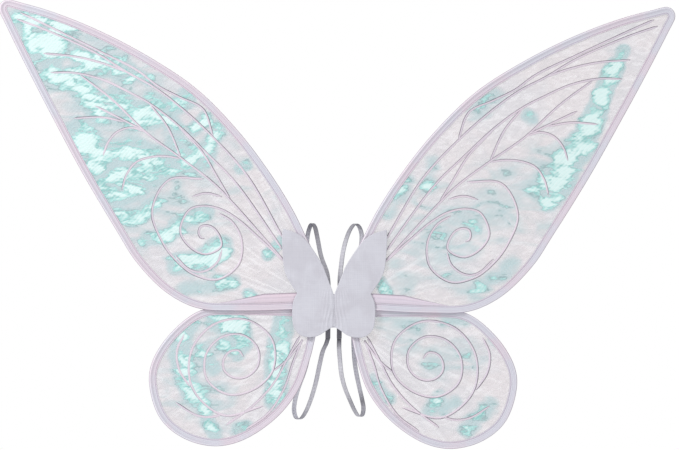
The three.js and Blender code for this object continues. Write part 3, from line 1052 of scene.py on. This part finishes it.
# Coils wind clockwise round a centre: first angle, turn per step, and the radius at each step
upperCoil = {
    "centre": (183, 108), "start": 57, "turn": -50.7,
    "radii": [40.5, 34.5, 27, 28, 29, 17.5, 13.5, 12, 8.5, 7, 6],
}
upperArm = [(70, 71), (112, 109), (134, 128), (159, 143), (185, 148)]
outerCoil = {
    "centre": (183, 108), "start": 88.5, "turn": -32.5,
    "radii": [78, 91.5, 81, 61, 54.5, 58, 66, 64, 53, 43, 36],
}
lowerCoil = {
    "centre": (137, -71), "start": 147.5, "turn": -45,
    "radii": [13, 16.5, 17, 17.5, 20, 22, 25.5, 31, 36.3, 39.2, 40.3, 43.5,
              47.5, 47, 46, 53.4, 60, 61.2, 61.3, 64.5, 71.5, 77, 73],
}


def coilPoints(coil):
    x, z = coil["centre"]
    angles = [math.radians(coil["start"] + k * coil["turn"]) for k in range(len(coil["radii"]))]
    return [(x + r * math.cos(a), z + r * math.sin(a)) for r, a in zip(coil["radii"], angles)]


def veinRings(points, wing):
    # Flat oval sections along one vein, lying half in the film, thinner at both ends.
    line = smoothPath([(wing["side"] * x * mm, z * mm) for x, z in points], veinPlan["spacing"])
    across = inwardOf(line, wing["side"])
    depth = filmLevel(line, wing)
    last = len(line) - 1
    rings, edges = [], []
    for k, point in enumerate(line):
        size = min(1.0, veinPlan["tip"] + veinPlan["growth"] * min(k, last - k))
        ring = []
        for cosine, sine in around(veinPlan["sectionSides"]):
            off = cosine * veinPlan["halfWidth"] * size
            lift = sine * veinPlan["halfHeight"] * size
            ring.append((point[0] + across[k, 0] * off, depth[k] - lift, point[1] + across[k, 1] * off))
            edges.append(0.5 + 0.5 * cosine)
        rings.append(ring)
    return rings, edges


def makeVeins(wing):
    if wing["name"].endswith("upper"):
        routes = upperVeins + [upperArm + coilPoints(upperCoil), coilPoints(outerCoil)]
    else:
        routes = lowerVeins + [coilPoints(lowerCoil)]
    parts, across = [], []
    for route in routes:
        rings, edges = veinRings(route, wing)
        parts.append(sweepSection(rings))
        across += edges
    veins = addPiece(wing["name"] + "_veins", *joinParts(parts), "vein", {"across": across})
    settle(faceOutward(veins), wing["body"], "edge_binding")


for wing in wingsMade:
    makeVeins(wing)
print("veins: coils and branches lie on the films")


# Edge tape, folded over the wire, and its stitching
tapePlan = {
    # front half of the folded tape: mm in from the outer edge, mm in front of the film
    "outside": [
        (10.5, 0.78), (10.0, 0.92), (9.3, 0.86), (8.7, 0.58), (8.1, 0.84), (6.9, 0.95), (6.1, 0.76),
        (5.3, 0.92), (4.4, 1.2), (3.4, 1.62), (2.2, 1.88), (1.1, 1.62), (0.35, 0.95),
    ],
    "inside": [(0.55, 0.0), (0.95, 1.1), (1.95, 1.45), (2.9, 1.15), (3.5, 0.42), (10.5, 0.38)],
    "pucker": 0.22 * mm,
    "puckers": 60,  # to a metre, about
    "stitchInset": 8.7 * mm,
    "stitchPitch": 3.4 * mm,
    "stitchLength": 2.3 * mm,
    "stitchRadius": 0.26 * mm,
    "stitchLift": 0.72 * mm,
    "stitchEnd": 0.45,
    "stitchDive": 0.1 * mm,
}


def tapeSection():
    front = [(inset * mm, lift * mm) for inset, lift in tapePlan["outside"]]
    back = [(inset, -lift) for inset, lift in reversed(front)]
    channelBack = [(inset * mm, -lift * mm) for inset, lift in reversed(tapePlan["inside"])]
    channelFront = [(inset * mm, lift * mm) for inset, lift in tapePlan["inside"][1:]]
    return front + [(0.0, 0.0)] + back + channelBack + channelFront


def makeTape(wing):
    edge = wing["edge"]
    inward = inwardOf(edge, wing["side"])
    pucker = tapePlan["pucker"] * cloudy(edge, tapePlan["puckers"], wing["seed"] + 2)
    section = tapeSection()
    width = tapePlan["outside"][0][0] * mm
    rings, across = [], []
    for k, point in enumerate(edge):
        ring = []
        for inset, lift in section:
            reach = inset + pucker[k] * inset / width
            place = point + inward[k] * reach
            ring.append((place[0], wing["middle"] - lift * (1 + pucker[k] / mm), place[1]))
            across.append(inset / width)
        rings.append(ring)
    tape = addPiece(wing["name"] + "_edge_tape", *sweepSection(rings), "tape", {"across": across}, crease=60)
    settle(faceOutward(tape), wing["body"], "edge_binding", wing["name"] + "_binding")


def makeStitches(wing):
    # One small spindle of thread for each stitch, on the front and on the back of the tape.
    plan = tapePlan
    line = evenly(wing["edge"], plan["stitchPitch"])
    inward = inwardOf(line, wing["side"])
    along = np.stack([-inward[:, 1], inward[:, 0]], axis=1)
    parts = []
    for k in range(2, len(line) - 2):
        middle = line[k] + inward[k] * plan["stitchInset"]
        for face in (-1, 1):
            rings = []
            for share in (-0.5, -0.3, 0.3, 0.5):
                end = abs(share) == 0.5  # the thread thins and dives at both ends of a stitch
                radius = plan["stitchRadius"] * (plan["stitchEnd"] if end else 1)
                place = middle + along[k] * share * plan["stitchLength"]
                level = wing["middle"] + face * (plan["stitchLift"] - (plan["stitchDive"] if end else 0))
                ring = []
                for cosine, sine in around(6):
                    off = inward[k] * cosine * radius
                    ring.append((place[0] + off[0], level + sine * radius, place[1] + off[1]))
                rings.append(ring)
            parts.append(sweepSection(rings))
    stitches = addPiece(wing["name"] + "_stitching", *joinParts(parts), "thread")
    settle(faceOutward(stitches), wing["body"], "edge_binding")


for wing in wingsMade:
    makeTape(wing)
    makeStitches(wing)
print("edge tape: four folded tapes with their stitching")


# Organza strips along the upper wings' lower edges, narrowing outward
stripPlan = {
    "spacing": 2 * mm,
    "tapeWidth": 10.8 * mm,
    "width": 13 * mm,
    "taper": 62 * mm,
    "endShare": 0.08,
    "thickness": 0.45 * mm,
    "ridge": 0.22 * mm,
    "ridges": 3,
    "rows": 14,
    "hemShare": 0.5,  # the cut edges are this much thinner
}


def makeStrip(wing):
    plan = stripPlan
    node = wing["name"] + "_gusset"
    low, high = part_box(node)
    reach = max(abs(low.x), abs(high.x))
    nearest = min(abs(low.x), abs(high.x))
    edge = evenly(wing["edge"], plan["spacing"])
    inward = inwardOf(edge, wing["side"])
    chosen = [k for k in range(len(edge) // 2, len(edge)) if nearest <= abs(edge[k, 0]) <= reach]
    rings, across = [], []
    for k in chosen:
        share = max(min((reach - abs(edge[k, 0])) / plan["taper"], 1), plan["endShare"])
        ring = []
        for part, face in bandRows(plan["rows"]):
            place = edge[k] + inward[k] * (plan["tapeWidth"] + part * share * plan["width"])
            fold = math.cos(part * 2 * plan["ridges"] * math.pi) * plan["ridge"] * share
            hem = plan["hemShare"] if part in (0, 1) else 1
            lift = face / 2 * plan["thickness"] * hem
            ring.append((place[0], (low.y + high.y) / 2 - lift - fold, place[1]))
            across.append(part)
        rings.append(ring)
    strip = addPiece(
        wing["name"] + "_organza_strip", *sweepSection(rings), "organza", {"across": across}, crease=70,
    )
    settle(faceOutward(strip), wing["body"], "organza_strip", node)


for wing in wingsMade:
    if wing["name"].endswith("upper"):
        makeStrip(wing)
print("organza strips: laid along the upper wings' lower edges")


# The satin patch halves, drawn in and gathered towards the neck
patchPlan = {
    "spacing": 1.25 * mm,
    "rimSpacing": 1.5 * mm,
    "thickness": 0.62 * mm,
    "edge": 0.35 * mm,  # how thick the folded edge itself is
    "hemSwell": 0.34 * mm,
    "hemMiddle": 0.9 * mm,
    "hemSpread": 0.7 * mm,
    "hemInsets": (0.8 * mm, 2.0 * mm),
    "tuckX": 0.8 * mm,  # the halves reach this near the centre line, at the neck
    "tuckTop": 27 * mm,
    "tuckBottom": -20 * mm,
    "tuckFrom": (14 * mm, 7 * mm),  # where their upper and lower edges start towards the neck
    "foldHub": (0, 78 * mm),  # the folds fan out downward from here
    "foldPitch": 0.066,  # in radians
    "foldDepth": {"left": 0.45 * mm, "right": 0.75 * mm},
    "foldWander": (0.9, 38),  # how far, in pitches, and how often to a metre
    "foldStrength": (0.65, 0.6, 55),  # middle, spread, and how often to a metre
    "foldSharpness": 0.9,
    "foldShare": 0.8,
    "foldWidth": (6 * mm, 24 * mm),  # sideways, where the folds begin to die away and end
    "foldHeight": (22 * mm, 44 * mm),
    "puff": 0.5 * mm,
    "puffs": 30,
    "puffFrom": 12 * mm,
    "puffEven": 0.6,  # the swelling that is everywhere; the rest comes and goes
    "puffUneven": 0.6,
    "bend": (2.5 * mm, 9 * mm),  # the cloth bends with the wing between these places
}


def foldWave(points):
    # Gathers that fan from the neck and die away over the wing side of the patch, -1 to 1.
    reach = points - np.array(patchPlan["foldHub"])
    angle = np.arctan2(np.abs(reach[:, 0]), -reach[:, 1])
    far, often = patchPlan["foldWander"]
    wander = far * cloudy(points, often, 3.0)
    middle, spreadOut, often = patchPlan["foldStrength"]
    strength = middle + spreadOut * cloudy(points, often, 8.0)
    wave = np.cos(2 * math.pi * (angle / patchPlan["foldPitch"] + wander)) * strength
    sideFade = 1 - ease(np.abs(points[:, 0]), *patchPlan["foldWidth"])
    topFade = 1 - ease(points[:, 1], *patchPlan["foldHeight"])
    return wave * sideFade * topFade


def patchRim(side):
    # The CAD half's rim, drawn in to the centre line at the neck.
    line = openRim(side + "_patch")
    turn = sides[side]
    upper, lower = patchPlan["tuckFrom"]
    middle = len(line) // 2
    kept = [k for k, point in enumerate(line) if abs(point[0]) > (upper if k < middle else lower)]
    line = smoothPath([tuple(line[k]) for k in kept], patchPlan["rimSpacing"])
    low = (turn * patchPlan["tuckX"], patchPlan["tuckBottom"])
    high = (turn * patchPlan["tuckX"], patchPlan["tuckTop"])
    neck = evenly(np.array([tuple(line[-1]), low, high, tuple(line[0])]), patchPlan["rimSpacing"])
    return counterClockwise(np.vstack([line, neck[1:-1]]))


def hemmed(toRim, plan):
    # Thickness of a hemmed cloth: swollen along its hem and thin at the very edge.
    hem = np.exp(-((toRim - plan["hemMiddle"]) / plan["hemSpread"]) ** 2)
    return np.where(toRim < 0.1 * mm, plan["edge"], plan["thickness"] + plan["hemSwell"] * hem)


def makePatch(side):
    plan = patchPlan
    node = side + "_patch"
    low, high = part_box(node)
    rim = patchRim(side)
    flat, faces = cutCloth(rim, plan["spacing"], plan["hemInsets"], seed=11)
    toRim = distanceTo(flat, closedLine(rim))
    wave = foldWave(flat)
    fold = plan["foldDepth"][side] * (plan["foldSharpness"] * np.abs(wave) + wave) * plan["foldShare"]
    uneven = plan["puffEven"] + plan["puffUneven"] * cloudy(flat, plan["puffs"], 5.0 * sides[side])
    puff = plan["puff"] * ease(toRim, 0, plan["puffFrom"]) * uneven
    depth = (low.y + high.y) / 2 - fold - puff
    patch = closedSheet(side + "_patch_cloth", flat, faces, depth, hemmed(toRim, plan), "satin")
    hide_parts(node)
    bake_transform(patch)


liningPlan = {
    "spacing": 3 * mm,
    "rimSpacing": 2.4 * mm,
    "thickness": 0.5 * mm,
    "edge": 0.3 * mm,
    "hemSwell": 0.28 * mm,
    "hemMiddle": 1.0 * mm,
    "hemSpread": 0.8 * mm,
    "hemInsets": (0.9 * mm, 2.2 * mm),
    "ripple": 0.14 * mm,
    "ripples": 45,
    "rippleFrom": 8 * mm,
}


def makeLining(side):
    plan = liningPlan
    node = side + "_root_lining"
    low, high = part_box(node)
    rim = smoothPath([tuple(point) for point in openRim(node)], plan["rimSpacing"])
    closing = evenly(np.array([tuple(rim[-1]), tuple(rim[0])]), plan["rimSpacing"])
    rim = counterClockwise(np.vstack([rim, closing[1:-1]]))
    flat, faces = cutCloth(rim, plan["spacing"], plan["hemInsets"], seed=23)
    toRim = distanceTo(flat, closedLine(rim))
    ripple = plan["ripple"] * cloudy(flat, plan["ripples"], 8.0) * ease(toRim, 0, plan["rippleFrom"])
    depth = (low.y + high.y) / 2 + ripple
    lining = closedSheet(side + "_lining_cloth", flat, faces, depth, hemmed(toRim, plan), "lining")
    settle(lining, side + "_wing", "lining_satin", node)


neckPlan = {
    "rings": 27,
    "pleats": 9,
    "pleatDepth": 0.07,
    "pleatWander": 1.3,
    "pleatTurns": (2.4, 1.5),  # how the wander changes with height, and round the band
    "endClose": 0.12,  # how much the very ends close in
    "endPower": 10,
    "wall": 0.5 * mm,
    "innerHeight": 0.97,  # the inner surface, as a share of the outer one
    # How both ends turn in: share of the height, and the band's size there
    "tuckIn": [(1.0, 0.82), (0.985, 0.55), (0.96, 0.3)],
    "squareness": 3.2,  # 2 is an oval, more is nearer to a box
    "pinch": 0.3,  # how much narrower the middle is than the ends
    "slim": 0.7,  # its width, as a share of the space held for it
    "setBack": 0.35 * mm,  # its front lies this far behind the space's front
    "sections": 72,
}


def makeNeck():
    # A band of satin gathered round the middle of the patch and tucked in at both ends.
    plan = neckPlan
    low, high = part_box("neck_gather")
    low.y += plan["setBack"]
    centre = (low + high) / 2
    halfX, halfY, halfZ = (high - low) / 2
    halfX *= plan["slim"]
    rings = []
    outer = [(k / (plan["rings"] - 1), 1.0) for k in range(plan["rings"])]
    path = [(1 - share, size) for share, size in reversed(plan["tuckIn"])] + outer + plan["tuckIn"]
    wall = plan["wall"] / halfX
    power = plan["squareness"]
    upTurns, roundTurns = plan["pleatTurns"]
    inner = [(0.5 + (share - 0.5) * plan["innerHeight"], size - wall) for share, size in reversed(path)]
    for share, size in path + inner:
        up = 2 * share - 1
        narrow = 1 - plan["pinch"] * (1 - up * up)
        close = size * (1 - plan["endClose"] * abs(up) ** plan["endPower"])
        ring = []
        for j in range(plan["sections"]):
            angle = 2 * math.pi * j / plan["sections"]
            corner = (abs(math.cos(angle)) ** power + abs(math.sin(angle)) ** power) ** (-1 / power)
            wander = plan["pleatWander"] * math.sin(up * upTurns + roundTurns * math.cos(angle))
            pleat = 1 + plan["pleatDepth"] * math.cos(plan["pleats"] * 2 * angle + wander)
            radius = corner * close / (1 + plan["pleatDepth"])
            ring.append((
                centre.x + halfX * narrow * radius * pleat * math.cos(angle),
                centre.y + halfY * radius * (1 + (pleat - 1) * halfX / halfY) * math.sin(angle),
                centre.z + halfZ * up,
            ))
        rings.append(ring)
    neck = addPiece("neck_gather_cloth", *sweepSection(rings, endless=True), "satin")
    settle(faceOutward(neck), "centre", "patch_satin", "neck_gather")


for side in sides:
    makePatch(side)
    makeLining(side)
makeNeck()
print("patch: two satin halves, linings and the gathered neck")


# The padded centre: cloth pressure swells it, then its channels are pressed in
padPlan = {
    "startShare": 0.95,  # the pad swells, so it starts a little smaller
    "corner": 10 * mm,
    "notch": 7 * mm,
    "rimSpacing": 2 * mm,
    "spacing": 2.5 * mm,
    "rimInset": 1.2 * mm,
    "voxel": 1.7 * mm,
    "pressure": 4.0,
    "frames": 20,
    "cap": 1.6 * mm,
    "rearCap": 1.3 * mm,
    "frontGap": 0.05 * mm,
    "channelX": 7.5 * mm,
    "channelWidth": 1.1 * mm,
    "channelDepth": 0.7 * mm,
    "edgeShare": 0.32,  # how thick it is at its rim before it swells, as a share
    "edgeWidth": 9 * mm,
    "pipingRadius": 0.75 * mm,
    "pipingSpacing": 1.6 * mm,
    "pipingTwist": 0.06,
}


def notchedOutline(halfX, halfZ, corner, centreZ, count=9):
    # A rounded pad outline whose upper and lower edges dip at the middle.
    places = []
    for turn, (sx, sz) in enumerate([(1, -1), (1, 1), (-1, 1), (-1, -1)]):
        for k in range(count):
            angle = math.radians(-90 + 90 * turn + 90 * k / (count - 1))
            places.append((
                sx * (halfX - corner) + corner * math.cos(angle),
                centreZ + sz * (halfZ - corner) + corner * math.sin(angle),
            ))
        if turn in (1, 3):
            places.append((0, centreZ + sz * (halfZ - padPlan["notch"])))
    return np.array(places)


def padShape(low, high):
    share = padPlan["startShare"]
    centre = (low + high) / 2
    half = (high - low) / 2 * share
    rim = notchedOutline(half.x, half.z, padPlan["corner"] * share, centre.z)
    rim = evenly(closedLine(rim), padPlan["rimSpacing"])[:-1]
    flat, faces = cutCloth(rim, padPlan["spacing"], (padPlan["rimInset"],), seed=31)
    inside = np.clip(distanceTo(flat, closedLine(rim)) / padPlan["edgeWidth"], 0, 1)
    crown = np.sqrt(inside * (2 - inside))
    thick = 2 * half.y * (padPlan["edgeShare"] + (1 - padPlan["edgeShare"]) * crown)
    return closedSheet("back_pad_cover", flat, faces, centre.y, thick, "padCover")


def applyModifiers(piece):
    graph = bpy.context.evaluated_depsgraph_get()
    shaped = bpy.data.meshes.new_from_object(piece.evaluated_get(graph))
    piece.modifiers.clear()
    old = piece.data
    piece.data = shaped
    bpy.data.meshes.remove(old)


def pointsOf(mesh):
    return np.array([tuple(vert.co) for vert in mesh.vertices])


def inflate(piece):
    # Cloth pressure swells the pad; no point moves further than the cap.
    remesh = piece.modifiers.new("even mesh", "REMESH")
    remesh.mode = "VOXEL"
    remesh.voxel_size = padPlan["voxel"]
    applyModifiers(piece)
    start = pointsOf(piece.data)
    scene = bpy.context.scene
    cloth = piece.modifiers.new("swell", "CLOTH")
    cloth.settings.use_pressure = True
    cloth.settings.uniform_pressure_force = padPlan["pressure"]
    cloth.settings.quality = 5
    cloth.settings.effector_weights.gravity = 0
    cloth.collision_settings.use_collision = False
    for number in range(1, padPlan["frames"] + 1):
        scene.frame_set(number)
    graph = bpy.context.evaluated_depsgraph_get()
    move = pointsOf(piece.evaluated_get(graph).data) - start
    piece.modifiers.clear()
    scene.frame_set(1)
    length = np.linalg.norm(move, axis=1)
    move *= (np.minimum(length, padPlan["cap"]) / np.maximum(length, 1e-9))[:, None]
    return start + move


def finishPad(piece, points, low, high):
    # Sewn channels are pressed in, and the pad stays flat against the board in front of it.
    channel = np.zeros(len(points))
    for x in (-padPlan["channelX"], padPlan["channelX"]):
        channel = np.maximum(channel, np.exp(-((points[:, 0] - x) / padPlan["channelWidth"]) ** 2))
    rear = points[:, 1] > (low.y + high.y) / 2
    points[:, 1] -= np.where(rear, padPlan["channelDepth"] * channel, 0)
    points[:, 1] = np.clip(points[:, 1], low.y - padPlan["frontGap"], high.y + padPlan["rearCap"])
    for vert, place in zip(piece.data.vertices, points):
        vert.co = place
    piece.data.materials.clear()
    piece.data.materials.append(finishes["padCover"])
    smooth = piece.modifiers.new("smooth", "SUBSURF")
    smooth.levels = smooth.render_levels = 1
    applyModifiers(piece)
    piece.data.shade_smooth()


def makePiping(low, high):
    centre = (low + high) / 2
    half = (high - low) / 2
    radius = padPlan["pipingRadius"]
    rim = notchedOutline(half.x - radius, half.z - radius, padPlan["corner"], centre.z)
    rim = evenly(closedLine(rim), padPlan["pipingSpacing"])[:-1]
    out = np.roll(rim, -1, axis=0) - np.roll(rim, 1, axis=0)
    out /= np.linalg.norm(out, axis=1)[:, None]
    rings = []
    for k, point in enumerate(rim):
        ring = []
        for j in range(10):
            angle = 2 * math.pi * j / 10
            away = radius * (1 + padPlan["pipingTwist"] * math.sin(k * 2.1 + angle))
            ring.append((
                point[0] + out[k, 1] * away * math.cos(angle), centre.y + away * math.sin(angle),
                point[1] - out[k, 0] * away * math.cos(angle),
            ))
        rings.append(ring)
    piping = addPiece("back_pad_piping", *sweepSection(rings, endless=True), "padCover")
    settle(faceOutward(piping), "centre", "pad_cover")


def makePad():
    low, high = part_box("back_pad")
    pad = padShape(low, high)
    finishPad(pad, inflate(pad), low, high)
    settle(pad, "centre", "pad_cover", "back_pad")
    makePiping(low, high)


makePad()
print("pad: swollen cover, sewn channels and piping")


# Elastic arm loops, sewn down at both ends
strapPlan = {
    "x": 8 * mm,
    "y": -6.8 * mm,
    "splay": math.radians(25.5),
    "width": 7 * mm,
    "thickness": 1.0 * mm,
    "ribs": 6,
    "ribDepth": 0.12 * mm,
    "spacing": 3 * mm,
    "rows": 19,
    # Painted shade along each loop, for its shadowed and turned-away spans: (share of its length, strength of
    # the painted shade)
    "darkness": {
        "left": [
            (0, 0.4), (0.07, 0.2), (0.13, 0.35), (0.18, 0.75), (0.21, 0.6), (0.24, 0), (0.42, 0), (0.52, 0.5),
            (0.58, 0.1), (0.66, 0), (0.71, 0), (0.75, 0.6), (0.8, 0.2), (0.92, 0.1), (0.96, 0.4), (1, 0.9),
        ],
        "right": [
            (0, 0.35), (0.1, 0.22), (0.15, 0.5), (0.2, 0.75), (0.23, 0.4), (0.28, 0.15), (0.5, 0.15),
            (0.6, 0.05), (0.66, 0.1), (0.69, 0.7), (0.71, 0.3), (0.75, 0.2), (0.81, 0.5), (0.85, 0.22),
            (0.93, 0.25), (0.97, 0.4), (1, 1),
        ],
    },
    "edgePaintedShade": 0.3,
    "edgeFrom": 0.6,  # the edges carry painted shade from this share of the half width
    "edgeFlat": 0.1,  # and are this share as thick as the middle
    "edgePower": 9,
}

# Routes in each loop's own plane: reach from the sewn line and height, in metres
strapRoutes = {
    "left": [
        (0, 0.0346), (0.001, 0.044), (0.006, 0.057), (0.026, 0.080), (0.038, 0.104), (0.047, 0.120),
        (0.057, 0.125), (0.068, 0.114), (0.073, 0.098), (0.070, 0.078), (0.066, 0.040), (0.062, 0),
        (0.061, -0.040), (0.065, -0.064), (0.078, -0.088), (0.093, -0.106), (0.107, -0.128),
        (0.110, -0.143), (0.102, -0.153), (0.087, -0.153), (0.072, -0.144), (0.052, -0.122),
        (0.037, -0.098), (0.026, -0.074), (0.016, -0.055), (0.005, -0.044), (0, -0.0366),
    ],
    "right": [
        (0, 0.0346), (0, 0.048), (0.004, 0.067), (0.010, 0.087), (0.020, 0.104), (0.032, 0.117),
        (0.048, 0.125), (0.062, 0.121), (0.070, 0.110), (0.069, 0.092), (0.060, 0.050), (0.052, 0.010),
        (0.047, -0.030), (0.049, -0.057), (0.055, -0.080), (0.066, -0.103), (0.078, -0.125),
        (0.083, -0.138), (0.079, -0.147), (0.067, -0.148), (0.054, -0.140), (0.037, -0.124),
        (0.020, -0.106), (0.009, -0.088), (0.003, -0.066), (0, -0.050), (0, -0.0366),
    ],
}


def makeStrap(side):
    plan = strapPlan
    turn = sides[side]
    line = smoothPath(strapRoutes[side], plan["spacing"])
    outward = inwardOf(line, -1)  # away from the arm
    splay = plan["splay"]
    reachWay = np.array([turn * math.sin(splay), math.cos(splay), 0])
    widthWay = np.array([math.cos(splay), -turn * math.sin(splay), 0])
    upWay = np.array([0, 0, 1])
    sewn = np.array([turn * plan["x"], plan["y"], 0])
    places, values = zip(*plan["darkness"][side])
    dark = np.interp(np.linspace(0, 1, len(line)), places, values)
    rings, darkness = [], []
    for k, (reach, height) in enumerate(line):
        centre = sewn + reachWay * reach + upWay * height
        away = reachWay * outward[k, 0] + upWay * outward[k, 1]
        ring = []
        for share, face in bandRows(plan["rows"]):
            part = 2 * share - 1
            rib = plan["ribDepth"] * math.cos(part * plan["ribs"] * math.pi)
            crown = math.sqrt(max(0.0, 1 - abs(part) ** plan["edgePower"]))
            full = crown * (1 - plan["edgeFlat"]) + plan["edgeFlat"]
            lift = (plan["thickness"] / 2 + rib) * full * face
            ring.append(centre + widthWay * part * plan["width"] / 2 + away * lift)
            darkness.append(min(1.0, dark[k] + plan["edgePaintedShade"] * ease(abs(part), plan["edgeFrom"], 1)))
        rings.append(ring)
    strap = addPiece(side + "_arm_strap_elastic", *sweepSection(rings), "elastic", {"darkness": darkness})
    settle(faceOutward(strap), side + "_arm_strap", "strap_elastic", side + "_strap")
    print("strap:", side, "loop is", round(lengthOf(line), 3), "m long")


for side in sides:
    makeStrap(side)


# Finishes of the frame's own pieces, by the ending of their names
nodeFinishes = {
    "wire": "wire", "ferrule": "ferrule", "stiffener": "felt", "core_board": "board", "tab": "elastic",
}
# painted shade on the tabs, to match the ends of the loops
tabPaintedShade = {"top_tab": 0.4, "bottom_tab": 0.85}


def finishNodes():
    for name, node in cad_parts.items():
        for ending, value in tabPaintedShade.items():
            if name.endswith(ending):
                layer = node.data.attributes.new("darkness", "FLOAT", "POINT")
                layer.data.foreach_set("value", [value] * len(node.data.vertices))
        for ending, finish in nodeFinishes.items():
            if name.endswith(ending):
                node.data.materials.clear()
                node.data.materials.append(finishes[finish])


finishNodes()
print("frame: wires, ferrules, stiffeners, board and tabs have their finishes")
